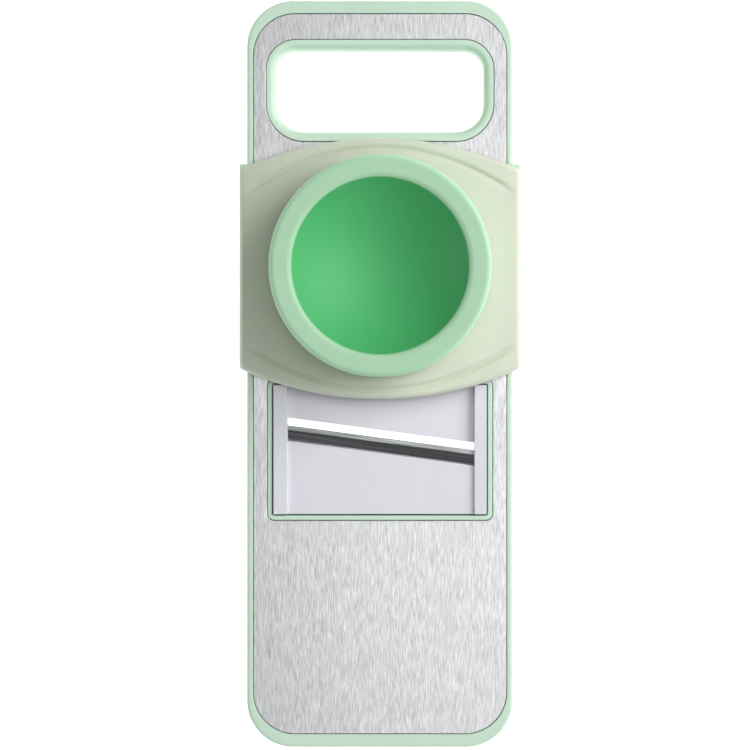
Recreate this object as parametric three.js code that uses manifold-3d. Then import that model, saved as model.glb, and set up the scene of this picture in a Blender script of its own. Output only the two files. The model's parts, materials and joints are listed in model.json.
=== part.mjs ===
// Mandoline slicer: a board with a blade insert, a sliding hand guard and a food pusher.
// Millimetres. +Z is up, +Y runs to the handle end, +X to the right of someone looking
// down with the handle at the top. The origin is under the middle of the board, on the
// surface that the board's feet stand on.
import * as THREE from 'three';
import { mergeVertices } from 'three/addons/utils/BufferGeometryUtils.js';
import Module from 'manifold-3d';

const wasm = await Module();
wasm.setup();

// ---- Driving dimensions -------------------------------------------------------------
const GAP = 0.3; // between two pieces that touch
const ARC_STEPS = 4; // steps in an eighth of a turn of a rounded corner
const ROUND_STEPS = 48; // sides of a large round piece
const SMALL_STEPS = 10; // sides of a pin or a screw
const FOOT_STEPS = 20; // sides of a foot

// Board
const BOARD_WIDTH = 117.5;
const BOARD_LENGTH = 330;
const BOARD_CORNER = 20.5;
const FRAME_HEIGHT = 12;
const FRAME_WALL = 5.5; // of the rim that the guard's grooves are cut into
const DECK = 2.2; // plastic under the steel
const BORDER_SIDE = 2.9; // plastic border seen beside the steel
const BORDER_END = 6;
const PANEL_CORNER = 18.3;
const PANEL_THICKNESS = 0.8;
const PANEL_DROP = 0.2; // steel below the border's top
const BACK_THICKNESS = 2.2;
const BACK_INSET = 0.8; // back cover's edge inside the frame's
const FOOT_DROP = 3; // a foot below the back cover
const FOOT_RADIUS = 6;
const FOOT_RECESS = 1;
const FOOT_FROM_SIDE = 24.75;
const FOOT_FROM_END = 12;

// Handle opening
const HANDLE_WIDTH = 92; // of the hole
const HANDLE_LENGTH = 36.4;
const HANDLE_FROM_END = 21.6; // board's end to the hole
const HANDLE_CORNER_END = 9; // corners nearer the board's end
const HANDLE_CORNER = 12.5; // corners nearer the blade
const HANDLE_RING = 4.5; // width of the ring round the hole
const HANDLE_ROUND = 1.6; // chamfer on the ring's inner edge

// Window and blade insert
const WINDOW_Y = -33.5; // middle of the window
const INSERT_WIDTH = 94.1;
const INSERT_LENGTH = 57.1;
const INSERT_FIT = 0.6; // gap round the insert
const BEZEL = 2.3; // rim of the window
const BEZEL_CORNER = 3.3;
const FLANGE_REACH = 1.6; // insert's foot flange past its walls
const FLANGE_THICKNESS = 2;
const INSERT_DEPTH = 9; // flange's top below the board's top
const INSERT_WALL = 2;
const RAIL_LEFT = 6.2;
const RAIL_RIGHT = 5.3;
const RAIL_PROUD = 1.2; // rails above the board's top
const LANDING_DROP = 0.6; // landing plate below the board's top
const SLICE = 1.8; // approach plate below the landing plate
const PLATE = 2; // approach plate's thickness
const LANDING = 3;

// Blade
const BLADE_SLANT = 7.6 * Math.PI / 180; // in plan, falling to the right
const BLADE_TILT = 12 * Math.PI / 180; // cutting edge up
const BLADE_Y = -28.4; // cutting edge on the board's middle line
const BLADE_WIDTH = 16;
const BLADE_SEEN = 6.6; // from the cutting edge to the landing plate
const BLADE_THICKNESS = 1;
const BLADE_BEVEL = 1.8;
const BLADE_PROUD = 0.1; // top face, extended to the edge, above the landing plate
const BLADE_IN_RAIL = 2.6; // how far each end goes into its rail
const THROAT = 3.5; // gap that the slice falls through
const CLAMP_WIDTH = 8;
const CLAMP_THICKNESS = 2;
const CLAMP_INSET = 2; // clamp's end from the rail
const CLAMP_SCREW_FROM_END = 11; // from the rail
const CLAMP_SCREW_GRIP = 1.4; // screw's length in the landing plate

// Screws
const SCREW_SHANK = 1.3;
const SCREW_HEAD = 2.6;
const SCREW_HEAD_HEIGHT = 1.4;
const BACK_SCREW_LENGTH = 7;
const BOSS_RADIUS = 3.8;
const SCREW_FROM_SIDE = 6.75; // the screws beside the handle and above the window
const SCREW_FROM_HANDLE_END = 41;
const SCREW_FROM_WINDOW = 16.75;
const CORNER_SCREW_FROM_SIDE = 12.75; // the two at the far end
const CORNER_SCREW_FROM_END = 17;

// Hand guard
const RUNNER_WALL = 2.8; // outside the frame
const GUARD_PARKED = 119; // its middle from the board's handle end
const GUARD_SIDE = 87.4; // length along its straight sides
const GUARD_MIDDLE = 114.4; // length over its curved ends
const GUARD_RISE = 10.5; // crown above the board's top
const GUARD_ARCH = 4; // how much lower the sides are than the crown
const GUARD_WALL = 2.2;
const GUARD_CLEARANCE = 1.3; // its end walls above the board
const GUARD_END_MARGIN = 13.8; // board left past the guard at the end of its travel
const RUNNER_REACH = 5; // runner's top flange, inwards from its side
const RUNNER_FLANGE = 2;
const RUNNER_AHEAD = 2.8; // runner past the cover at the handle end
const RUNNER_CLIP_LENGTH = 10;
const RUNNER_CLIP_RISE = 1.2;
const LIP_REACH = 1.85; // lip into the frame's groove
const LIP_HEIGHT = 2;
const LIP_DROP = 8.4; // lip's middle below the board's top
const GROOVE_PLAY = 0.4;

// Collar and pusher
const COLLAR_INNER = 41.5;
const COLLAR_WALL = 2.4;
const COLLAR_HEIGHT = 31; // above the guard's crown
const PUSHER_FIT = 0.5; // between plug, collar and skirt
const SKIRT_WALL = 3.1;
const RIM_HEIGHT = 5; // rim above the collar's top
const RIM_ROUND = 2.2;
const BOWL_CURVE = 50.3; // radius of the bowl's round dish
const BOWL_EDGE = 3.6; // plug's side to the edge of the dish
const BOWL_LIP = 4; // rounding between the dish and the rim
const BOWL_WALL = 2.5; // below the dish
const CAVITY_EDGE = 5.6; // plug's side to the hollow below the dish
const SKIRT_CLEARANCE = 1; // skirt above the guard's crown
const KEY_WIDTH = 4;
const KEY_DEPTH = 1;
const PIN_PLATE_THICKNESS = 3;
const PIN_PLATE_FIT = 0.5;
const PLUG_LIP = 4; // plug's wall round the pin plate
const PIN_RADIUS = 1;
const PIN_HEAD_RADIUS = 2;
const PIN_HEAD_HEIGHT = 0.8;
const PIN_LENGTH = 4.5; // below its plate
const PIN_POINT = 2;
const PIN_CLEARANCE = 1; // points above the insert's rails
const PIN_RING = 22;
const PINS_IN_RING = 6;

// ---- Levels worked out from them ----------------------------------------------------
const BACK_BOTTOM = FOOT_DROP;
const BACK_TOP = BACK_BOTTOM + BACK_THICKNESS;
const FRAME_BOTTOM = BACK_TOP + GAP;
const BOARD_TOP = FRAME_BOTTOM + FRAME_HEIGHT;
const PANEL_TOP = BOARD_TOP - PANEL_DROP;
const PANEL_BOTTOM = PANEL_TOP - PANEL_THICKNESS;
const RECESS_FLOOR = PANEL_BOTTOM - GAP;
const DECK_BOTTOM = RECESS_FLOOR - DECK;
const FLANGE_TOP = BOARD_TOP - INSERT_DEPTH;
const FLANGE_BOTTOM = FLANGE_TOP - FLANGE_THICKNESS;
const RAIL_TOP = BOARD_TOP + RAIL_PROUD;
const LANDING_TOP = BOARD_TOP - LANDING_DROP;
const APPROACH_TOP = LANDING_TOP - SLICE;
const CROWN = BOARD_TOP + GUARD_RISE;
const COLLAR_TOP = CROWN + COLLAR_HEIGHT;
const RIM_TOP = COLLAR_TOP + RIM_HEIGHT;
const PLATE_BOTTOM = RAIL_TOP + PIN_CLEARANCE + PIN_LENGTH;
const PLATE_TOP = PLATE_BOTTOM + PIN_PLATE_THICKNESS;
const HIGH = 200; // past everything, for cuts
const HALF_LENGTH = BOARD_LENGTH / 2;
const HANDLE_Y = HALF_LENGTH - HANDLE_FROM_END - HANDLE_LENGTH / 2;
const GUARD_WIDTH = BOARD_WIDTH + 2 * (GAP + RUNNER_WALL);
const GUARD_Y = HALF_LENGTH - GUARD_PARKED;
const GUARD_TRAVEL = GUARD_Y - GUARD_MIDDLE / 2 + HALF_LENGTH - GUARD_END_MARGIN;
const PLUG_RADIUS = COLLAR_INNER - PUSHER_FIT;
const PUSHER_RADIUS = COLLAR_INNER + COLLAR_WALL + PUSHER_FIT + SKIRT_WALL;
const BOWL_RADIUS = PLUG_RADIUS - BOWL_EDGE;
const BOWL_SLOPE = Math.asin(BOWL_RADIUS / BOWL_CURVE); // at the edge of the dish
const BOWL_CENTRE = RIM_TOP - BOWL_LIP
  + (BOWL_LIP + BOWL_CURVE) * Math.cos(BOWL_SLOPE); // height of the dish's centre
const CAVITY_RADIUS = PLUG_RADIUS - CAVITY_EDGE;
const PIN_PLATE_RADIUS = PLUG_RADIUS - PLUG_LIP - PIN_PLATE_FIT;

// ---- Solids -------------------------------------------------------------------------
function solid(geometry) {
  const bare = geometry.clone();
  bare.deleteAttribute('normal');
  bare.deleteAttribute('uv');
  const merged = mergeVertices(bare, 1e-4);
  return new wasm.Manifold(new wasm.Mesh({
    numProp: 3,
    vertProperties: new Float32Array(merged.attributes.position.array),
    triVerts: new Uint32Array(merged.index.array),
  }));
}

function geometryOf(body) {
  const mesh = body.getMesh();
  const geometry = new THREE.BufferGeometry();
  geometry.setAttribute('position', new THREE.BufferAttribute(mesh.vertProperties, 3));
  geometry.setIndex(new THREE.BufferAttribute(mesh.triVerts, 1));
  return geometry;
}

// A rectangle with round corners, about (0, y). The corners at +y may have their own radius.
function roundedOutline(width, length, corner, y = 0, endCorner = corner) {
  const shape = new THREE.Shape();
  const quarter = Math.PI / 2;
  [endCorner, endCorner, corner, corner].forEach((radius, i) => {
    const x = (i % 3 === 0 ? 1 : -1) * (width / 2 - radius);
    const along = (i < 2 ? 1 : -1) * (length / 2 - radius);
    shape.absarc(x, y + along, radius, i * quarter, (i + 1) * quarter);
  });
  shape.closePath();
  return shape;
}

function slab(shape, low, high, steps = ARC_STEPS) {
  const settings = { depth: high - low, bevelEnabled: false, curveSegments: steps };
  const geometry = new THREE.ExtrudeGeometry(shape, settings);
  geometry.translate(0, 0, low);
  return solid(geometry);
}

function roundedSlab(width, length, corner, y, low, high) {
  return slab(roundedOutline(width, length, corner, y), low, high);
}

function block(x0, x1, y0, y1, z0, z1) {
  const geometry = new THREE.BoxGeometry(x1 - x0, y1 - y0, z1 - z0);
  geometry.translate((x0 + x1) / 2, (y0 + y1) / 2, (z0 + z1) / 2);
  return solid(geometry);
}

function polygonSlab(points, low, high) {
  return slab(new THREE.Shape(points.map(([x, y]) => new THREE.Vector2(x, y))), low, high);
}

// A turned body about the vertical line through (x, y). The profile is [radius, height].
function turned(profile, x, y, steps = ROUND_STEPS) {
  const points = profile.map(([r, z]) => new THREE.Vector2(r, z));
  const geometry = new THREE.LatheGeometry(points, steps);
  geometry.rotateX(Math.PI / 2);
  geometry.translate(x, y, 0);
  return solid(geometry);
}

function rod(radius, x, y, low, high, steps = ROUND_STEPS) {
  return turned([[0, low], [radius, low], [radius, high], [0, high]], x, y, steps);
}

// ---- Board --------------------------------------------------------------------------
function boardSlab(inset, low, high) {
  return roundedSlab(BOARD_WIDTH - 2 * inset, BOARD_LENGTH - 2 * inset,
    BOARD_CORNER - inset, 0, low, high);
}

function handleOutline(grow) {
  return roundedOutline(HANDLE_WIDTH + 2 * grow, HANDLE_LENGTH + 2 * grow,
    HANDLE_CORNER + grow, HANDLE_Y, HANDLE_CORNER_END + grow);
}

function handleSlab(grow, low, high) {
  return slab(handleOutline(grow), low, high);
}

function windowSlab(grow, low, high, corner = BEZEL_CORNER) {
  const fit = INSERT_FIT + grow;
  return roundedSlab(INSERT_WIDTH + 2 * fit, INSERT_LENGTH + 2 * fit, corner,
    WINDOW_Y, low, high);
}

function panelArea(grow, low, high) {
  const outline = roundedSlab(BOARD_WIDTH - 2 * (BORDER_SIDE - grow),
    BOARD_LENGTH - 2 * (BORDER_END - grow), PANEL_CORNER + grow, 0, low, high);
  return outline.subtract(handleSlab(HANDLE_RING - grow, low - 1, high + 1))
    .subtract(windowSlab(BEZEL - grow, low - 1, high + 1));
}

function pairAt(fromSide, y) {
  const x = BOARD_WIDTH / 2 - fromSide;
  return [[-x, y], [x, y]];
}

const SCREWS = [
  ...pairAt(SCREW_FROM_SIDE, HALF_LENGTH - SCREW_FROM_HANDLE_END),
  ...pairAt(SCREW_FROM_SIDE, WINDOW_Y + INSERT_LENGTH / 2 + SCREW_FROM_WINDOW),
  ...pairAt(CORNER_SCREW_FROM_SIDE, -HALF_LENGTH + CORNER_SCREW_FROM_END),
];
const FEET = [
  ...pairAt(FOOT_FROM_SIDE, HALF_LENGTH - FOOT_FROM_END),
  ...pairAt(FOOT_FROM_SIDE, -HALF_LENGTH + FOOT_FROM_END),
];

// The chamfer on the handle hole's upper edge is cut by a plate whose sides slope.
function handleChamfer() {
  const settings = {
    depth: GAP, bevelEnabled: true, bevelSegments: 1, curveSegments: ARC_STEPS,
    bevelThickness: HANDLE_ROUND, bevelSize: HANDLE_ROUND,
  };
  const geometry = new THREE.ExtrudeGeometry(handleOutline(0), settings);
  geometry.translate(0, 0, BOARD_TOP);
  return solid(geometry);
}

function guardGroove(side) {
  const middle = BOARD_TOP - LIP_DROP;
  const half = LIP_HEIGHT / 2 + GROOVE_PLAY;
  const inner = BOARD_WIDTH / 2 - LIP_REACH - GROOVE_PLAY + GAP;
  const outer = BOARD_WIDTH / 2 + 1;
  const top = GUARD_Y + GUARD_SIDE / 2 + RUNNER_AHEAD + GAP;
  const bottom = GUARD_Y - GUARD_SIDE / 2 - GUARD_TRAVEL - GAP;
  return block(Math.min(side * inner, side * outer), Math.max(side * inner, side * outer),
    bottom, top, middle - half, middle + half);
}

function frameGeometry() {
  let cavity = boardSlab(FRAME_WALL, FRAME_BOTTOM - 1, DECK_BOTTOM)
    .subtract(handleSlab(HANDLE_RING, 0, HIGH))
    .subtract(windowSlab(BEZEL, FLANGE_TOP + GAP, HIGH));
  for (const [x, y] of SCREWS) {
    cavity = cavity.subtract(rod(BOSS_RADIUS, x, y, 0, HIGH, SMALL_STEPS));
  }
  let body = boardSlab(0, FRAME_BOTTOM, BOARD_TOP).subtract(cavity)
    .subtract(panelArea(GAP, RECESS_FLOOR, HIGH))
    .subtract(handleSlab(0, 0, HIGH))
    .subtract(handleChamfer())
    .subtract(windowSlab(0, 0, HIGH, 1))
    .subtract(windowSlab(FLANGE_REACH, 0, FLANGE_TOP + GAP));
  for (const [x, y] of SCREWS) {
    const depth = BACK_SCREW_LENGTH + GAP;
    body = body.subtract(rod(SCREW_SHANK + GAP, x, y, 0, BACK_TOP + depth, SMALL_STEPS));
  }
  for (const side of [-1, 1]) body = body.subtract(guardGroove(side));
  return geometryOf(body);
}

function facePanelGeometry() {
  return geometryOf(panelArea(0, PANEL_BOTTOM, PANEL_TOP));
}

function backCoverGeometry() {
  let body = boardSlab(BACK_INSET, BACK_BOTTOM, BACK_TOP)
    .subtract(handleSlab(BACK_INSET, 0, HIGH))
    .subtract(windowSlab(FLANGE_REACH + GAP, 0, HIGH));
  for (const [x, y] of SCREWS) {
    body = body.subtract(rod(SCREW_SHANK + GAP, x, y, 0, HIGH, SMALL_STEPS))
      .subtract(rod(SCREW_HEAD + GAP, x, y, 0, BACK_BOTTOM + SCREW_HEAD_HEIGHT, SMALL_STEPS));
  }
  for (const [x, y] of FEET) {
    body = body.subtract(rod(FOOT_RADIUS + GAP, x, y, 0, BACK_BOTTOM + FOOT_RECESS,
      FOOT_STEPS));
  }
  return geometryOf(body);
}

function backScrewGeometry() {
  const top = BACK_BOTTOM + SCREW_HEAD_HEIGHT - GAP;
  const tip = BACK_TOP + BACK_SCREW_LENGTH;
  const profile = [
    [0, BACK_BOTTOM + 0.1], [SCREW_HEAD, BACK_BOTTOM + 0.1], [SCREW_HEAD, top],
    [SCREW_SHANK, top], [SCREW_SHANK, tip - 2], [0, tip],
  ];
  return geometryOf(turned(profile, 0, 0, SMALL_STEPS));
}

function footGeometry() {
  const top = BACK_BOTTOM + FOOT_RECESS - GAP;
  const profile = [
    [0, 0], [FOOT_RADIUS - 0.8, 0], [FOOT_RADIUS, 0.8], [FOOT_RADIUS, top], [0, top],
  ];
  return geometryOf(turned(profile, 0, 0, FOOT_STEPS));
}

// ---- Blade insert -------------------------------------------------------------------
const INSERT_LEFT = -INSERT_WIDTH / 2;
const INSERT_RIGHT = INSERT_WIDTH / 2;
const INSERT_NEAR = WINDOW_Y + INSERT_LENGTH / 2; // handle end
const INSERT_FAR = WINDOW_Y - INSERT_LENGTH / 2;
const PLATE_LEFT = INSERT_LEFT + RAIL_LEFT;
const PLATE_RIGHT = INSERT_RIGHT - RAIL_RIGHT;

// Height y of a line that runs with the blade, a distance behind its cutting edge.
function slantY(x, behind) {
  return BLADE_Y - behind / Math.cos(BLADE_SLANT) - x * Math.tan(BLADE_SLANT);
}

// Blade parts are drawn with x along the blade, y back from its cutting edge and z up
// from the plane of its top face, and are then tilted, slanted and moved into place.
function placeOnBlade(geometry) {
  geometry.rotateX(BLADE_TILT);
  geometry.rotateZ(-BLADE_SLANT);
  geometry.translate(0, BLADE_Y, LANDING_TOP + BLADE_PROUD);
  return geometry;
}

function bladeBox(x0, x1, behind0, behind1, z0, z1) {
  const geometry = new THREE.BoxGeometry(x1 - x0, behind1 - behind0, z1 - z0);
  geometry.translate((x0 + x1) / 2, -(behind0 + behind1) / 2, (z0 + z1) / 2);
  return solid(placeOnBlade(geometry));
}

function bladeRod(radius, x, behind, z0, z1) {
  const geometry = new THREE.CylinderGeometry(radius, radius, z1 - z0, SMALL_STEPS);
  geometry.rotateX(Math.PI / 2);
  geometry.translate(x, -behind, (z0 + z1) / 2);
  return solid(placeOnBlade(geometry));
}

const BLADE_BEHIND_SCREW = BLADE_WIDTH - CLAMP_WIDTH / 2;
const CLAMP_SCREW_X = [
  PLATE_LEFT + CLAMP_SCREW_FROM_END, (PLATE_LEFT + PLATE_RIGHT) / 2,
  PLATE_RIGHT - CLAMP_SCREW_FROM_END,
];
const CLAMP_TOP = -BLADE_THICKNESS - GAP;
const CLAMP_BOTTOM = CLAMP_TOP - CLAMP_THICKNESS;

// The space between two upright planes, a distance inside the rails.
function betweenRails(inset, low, high) {
  return block(PLATE_LEFT + inset, PLATE_RIGHT - inset, INSERT_FAR, INSERT_NEAR, low, high);
}

function insertFrameGeometry() {
  const fromRail = 1; // plates run into the rails
  const x0 = PLATE_LEFT - fromRail;
  const x1 = PLATE_RIGHT + fromRail;
  const rails = block(INSERT_LEFT, PLATE_LEFT, INSERT_FAR, INSERT_NEAR, FLANGE_TOP, RAIL_TOP)
    .add(block(PLATE_RIGHT, INSERT_RIGHT, INSERT_FAR, INSERT_NEAR, FLANGE_TOP, RAIL_TOP));
  const flange = windowSlab(FLANGE_REACH - INSERT_FIT - GAP, FLANGE_BOTTOM, FLANGE_TOP + 0.1)
    .subtract(block(PLATE_LEFT, PLATE_RIGHT, INSERT_FAR + INSERT_WALL,
      INSERT_NEAR - INSERT_WALL, 0, HIGH));
  const nearWall = block(x0, x1, INSERT_NEAR - INSERT_WALL, INSERT_NEAR,
    FLANGE_TOP, APPROACH_TOP);
  const farWall = block(x0, x1, INSERT_FAR, INSERT_FAR + INSERT_WALL,
    FLANGE_TOP, LANDING_TOP);
  const approach = polygonSlab([
    [x0, INSERT_NEAR], [x0, slantY(x0, -THROAT)], [x1, slantY(x1, -THROAT)],
    [x1, INSERT_NEAR],
  ], APPROACH_TOP - PLATE, APPROACH_TOP);
  const landing = polygonSlab([
    [x0, slantY(x0, BLADE_SEEN)], [x0, INSERT_FAR], [x1, INSERT_FAR],
    [x1, slantY(x1, BLADE_SEEN)],
  ], LANDING_TOP - LANDING, LANDING_TOP);
  let body = rails.add(flange).add(nearWall).add(farWall).add(approach).add(landing);
  const reach = INSERT_WIDTH / 2;
  const seat = bladeBox(-reach, reach, -GAP, BLADE_WIDTH + GAP,
    CLAMP_BOTTOM - SCREW_HEAD_HEIGHT - GAP, GAP);
  const inRails = betweenRails(-BLADE_IN_RAIL - GAP, 0, HIGH);
  const overBlade = bladeBox(-reach, reach, -GAP, BLADE_WIDTH + GAP,
    -BLADE_THICKNESS - GAP, GAP).intersect(inRails);
  body = body.subtract(seat.intersect(betweenRails(0, 0, HIGH))).subtract(overBlade);
  for (const x of CLAMP_SCREW_X) {
    body = body.subtract(bladeRod(SCREW_SHANK + GAP, x, BLADE_BEHIND_SCREW,
      -BLADE_THICKNESS, CLAMP_SCREW_GRIP + GAP));
  }
  return geometryOf(body);
}

function slicingBladeGeometry() {
  const reach = INSERT_WIDTH / 2;
  const section = new THREE.Shape([
    new THREE.Vector2(0, -BLADE_THICKNESS + 0.1),
    new THREE.Vector2(-BLADE_BEVEL, 0),
    new THREE.Vector2(-BLADE_WIDTH, 0),
    new THREE.Vector2(-BLADE_WIDTH, -BLADE_THICKNESS),
    new THREE.Vector2(0, -BLADE_THICKNESS),
  ]);
  const geometry = new THREE.ExtrudeGeometry(section, { depth: 2 * reach, bevelEnabled: false });
  geometry.translate(0, 0, -reach);
  // The section's x runs along the model's y, its y up, and its length along x.
  geometry.applyMatrix4(new THREE.Matrix4().set(
    0, 0, 1, 0, 1, 0, 0, 0, 0, 1, 0, 0, 0, 0, 0, 1));
  let body = solid(placeOnBlade(geometry)).intersect(betweenRails(-BLADE_IN_RAIL, 0, HIGH));
  for (const x of CLAMP_SCREW_X) {
    body = body.subtract(bladeRod(SCREW_SHANK + GAP, x, BLADE_BEHIND_SCREW,
      -BLADE_THICKNESS - 1, 1));
  }
  return geometryOf(body);
}

function bladeClampGeometry() {
  const reach = INSERT_WIDTH / 2;
  let body = bladeBox(-reach, reach, BLADE_WIDTH - CLAMP_WIDTH, BLADE_WIDTH,
    CLAMP_BOTTOM, CLAMP_TOP).intersect(betweenRails(CLAMP_INSET, 0, HIGH));
  for (const x of CLAMP_SCREW_X) {
    body = body.subtract(bladeRod(SCREW_SHANK + GAP, x, BLADE_BEHIND_SCREW,
      CLAMP_BOTTOM - 1, CLAMP_TOP + 1));
  }
  return geometryOf(body);
}

function clampScrewGeometry(x) {
  const head = CLAMP_BOTTOM - GAP;
  return geometryOf(bladeRod(SCREW_HEAD, x, BLADE_BEHIND_SCREW, head - SCREW_HEAD_HEIGHT, head)
    .add(bladeRod(SCREW_SHANK, x, BLADE_BEHIND_SCREW, head - 0.5, CLAMP_SCREW_GRIP)));
}

// ---- Hand guard ---------------------------------------------------------------------
// Radius of an arc that rises by `rise` over a chord of twice `half`.
function arcRadius(half, rise) {
  return (half * half + rise * rise) / (2 * rise);
}

// The guard's plan: straight sides and bowed ends, drawn in from its edge by `inset`.
function guardOutline(inset) {
  const half = GUARD_WIDTH / 2 - inset;
  const side = GUARD_SIDE / 2;
  const middle = GUARD_MIDDLE / 2;
  const radius = arcRadius(GUARD_WIDTH / 2, middle - side) - inset;
  const centre = middle - radius - inset;
  const corner = Math.asin(half / radius);
  const shape = new THREE.Shape();
  const up = Math.PI / 2;
  shape.absarc(0, GUARD_Y + centre, radius, up - corner, up + corner);
  shape.absarc(0, GUARD_Y - centre, radius, -up - corner, -up + corner);
  shape.closePath();
  return shape;
}

// A bar with an arched top that runs along the board, for shaping the cover.
function archBar(drop) {
  const half = GUARD_WIDTH / 2;
  const radius = arcRadius(half, GUARD_ARCH);
  const angle = Math.asin((half + 1) / radius);
  const shape = new THREE.Shape();
  const up = Math.PI / 2;
  shape.moveTo(-half - 1, 0);
  shape.lineTo(half + 1, 0);
  shape.absarc(0, CROWN - drop - radius, radius, up - angle, up + angle);
  shape.closePath();
  const settings = { depth: GUARD_MIDDLE + 2, bevelEnabled: false, curveSegments: 10 };
  const geometry = new THREE.ExtrudeGeometry(shape, settings);
  geometry.rotateX(Math.PI / 2);
  geometry.translate(0, GUARD_Y + GUARD_MIDDLE / 2 + 1, 0);
  return solid(geometry);
}

function keys(low, high, grow) {
  const inner = PLUG_RADIUS - 1 + (grow ? PUSHER_FIT : 0);
  const outer = COLLAR_INNER + KEY_DEPTH - PUSHER_FIT + grow;
  const half = KEY_WIDTH / 2 + grow;
  const right = block(inner, outer, GUARD_Y - half, GUARD_Y + half, low, high);
  return right.add(block(-outer, -inner, GUARD_Y - half, GUARD_Y + half, low, high));
}

const RUNNER_TOP = BOARD_TOP + GAP + RUNNER_FLANGE;

function guardCoverGeometry() {
  const bottom = BOARD_TOP + GUARD_CLEARANCE;
  const shell = slab(guardOutline(0), bottom, HIGH, 12).intersect(archBar(0))
    .subtract(slab(guardOutline(GUARD_WALL), 0, HIGH, 12).intersect(archBar(GUARD_WALL)));
  const collar = rod(COLLAR_INNER + COLLAR_WALL, 0, GUARD_Y, bottom, COLLAR_TOP);
  const overRunner = GUARD_WIDTH / 2 - RUNNER_REACH - GAP;
  const far = GUARD_Y - GUARD_MIDDLE;
  const near = GUARD_Y + GUARD_MIDDLE;
  const seats = block(overRunner, HIGH, far, near, 0, RUNNER_TOP + GAP)
    .add(block(-HIGH, -overRunner, far, near, 0, RUNNER_TOP + GAP));
  return geometryOf(shell.add(collar)
    .subtract(rod(COLLAR_INNER, 0, GUARD_Y, 0, HIGH))
    .subtract(keys(0, HIGH, PUSHER_FIT))
    .subtract(seats));
}

function guardRunnerGeometry(side) {
  const outer = GUARD_WIDTH / 2;
  const wall = outer - RUNNER_WALL;
  const far = GUARD_Y - GUARD_SIDE / 2;
  const near = GUARD_Y + GUARD_SIDE / 2 + RUNNER_AHEAD;
  const middle = BOARD_TOP - LIP_DROP;
  const lipBottom = middle - LIP_HEIGHT / 2;
  let body = block(outer - RUNNER_REACH, outer, far, near, BOARD_TOP + GAP, RUNNER_TOP)
    .add(block(wall, outer, far, near, lipBottom, RUNNER_TOP))
    .add(block(wall - LIP_REACH, outer, far, near, lipBottom, middle + LIP_HEIGHT / 2));
  for (const y of [-1, 0, 1]) {
    const at = GUARD_Y + y * (GUARD_SIDE / 2 - RUNNER_CLIP_LENGTH);
    const clip = outer - GUARD_WALL - GAP;
    body = body.add(block(clip - 1.6, clip, at - RUNNER_CLIP_LENGTH / 2,
      at + RUNNER_CLIP_LENGTH / 2, RUNNER_TOP - 0.5, RUNNER_TOP + RUNNER_CLIP_RISE));
  }
  const geometry = geometryOf(body);
  if (side > 0) return geometry;
  geometry.rotateZ(Math.PI);
  geometry.translate(0, 2 * GUARD_Y + RUNNER_AHEAD, 0);
  return geometry;
}

// ---- Pusher -------------------------------------------------------------------------
// Points of an arc from one direction to another, about (r, z).
function arc(r, z, radius, from, to, steps = 4) {
  const points = [];
  for (let i = 0; i <= steps; i += 1) {
    const angle = from + (to - from) * i / steps;
    points.push([r + radius * Math.cos(angle), z + radius * Math.sin(angle)]);
  }
  return points;
}

function pusherCupGeometry() {
  const skirtInner = COLLAR_INNER + COLLAR_WALL + PUSHER_FIT;
  const skirtBottom = CROWN + SKIRT_CLEARANCE;
  const rimUnder = COLLAR_TOP + GAP;
  const recess = PIN_PLATE_RADIUS + PIN_PLATE_FIT;
  const lip = 1; // plug's wall below the pin plate
  const roof = BOWL_CURVE + BOWL_WALL;
  const down = -Math.PI / 2;
  const profile = [
    ...arc(0, BOWL_CENTRE, BOWL_CURVE, down, down + BOWL_SLOPE, 12),
    ...arc(BOWL_RADIUS + BOWL_LIP * Math.sin(BOWL_SLOPE), RIM_TOP - BOWL_LIP, BOWL_LIP,
      Math.PI / 2 + BOWL_SLOPE, Math.PI / 2).slice(1),
    ...arc(PUSHER_RADIUS - RIM_ROUND, RIM_TOP - RIM_ROUND, RIM_ROUND,
      Math.PI / 2, 0),
    [PUSHER_RADIUS, skirtBottom], [skirtInner, skirtBottom], [skirtInner, rimUnder],
    [PLUG_RADIUS, rimUnder], [PLUG_RADIUS, PLATE_BOTTOM - lip],
    [recess, PLATE_BOTTOM - lip], [recess, PLATE_TOP + GAP], [CAVITY_RADIUS, PLATE_TOP + GAP],
    ...arc(0, BOWL_CENTRE, roof, down + Math.asin(CAVITY_RADIUS / roof), down, 8),
  ].reverse();
  const guides = keys(PLATE_BOTTOM - lip, rimUnder + 0.5, 0);
  return geometryOf(turned(profile, 0, GUARD_Y).add(guides));
}

const PINS = [[0, GUARD_Y]];
for (let i = 0; i < PINS_IN_RING; i += 1) {
  const angle = (i + 0.5) * 2 * Math.PI / PINS_IN_RING;
  PINS.push([PIN_RING * Math.cos(angle), GUARD_Y + PIN_RING * Math.sin(angle)]);
}

function pinPlateGeometry() {
  let body = rod(PIN_PLATE_RADIUS, 0, GUARD_Y, PLATE_BOTTOM, PLATE_TOP);
  const seat = PLATE_TOP - PIN_HEAD_HEIGHT - 2 * GAP;
  for (const [x, y] of PINS) {
    body = body.subtract(rod(PIN_RADIUS + GAP, x, y, 0, HIGH, SMALL_STEPS))
      .subtract(rod(PIN_HEAD_RADIUS + GAP, x, y, seat, HIGH, SMALL_STEPS));
  }
  return geometryOf(body);
}

function foodPinGeometry() {
  const head = PLATE_TOP - GAP;
  const tip = RAIL_TOP + PIN_CLEARANCE;
  const profile = [
    [0, tip], [PIN_RADIUS, tip + PIN_POINT], [PIN_RADIUS, head - PIN_HEAD_HEIGHT],
    [PIN_HEAD_RADIUS, head - PIN_HEAD_HEIGHT], [PIN_HEAD_RADIUS, head], [0, head],
  ];
  return geometryOf(turned(profile, 0, 0, SMALL_STEPS));
}

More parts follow.
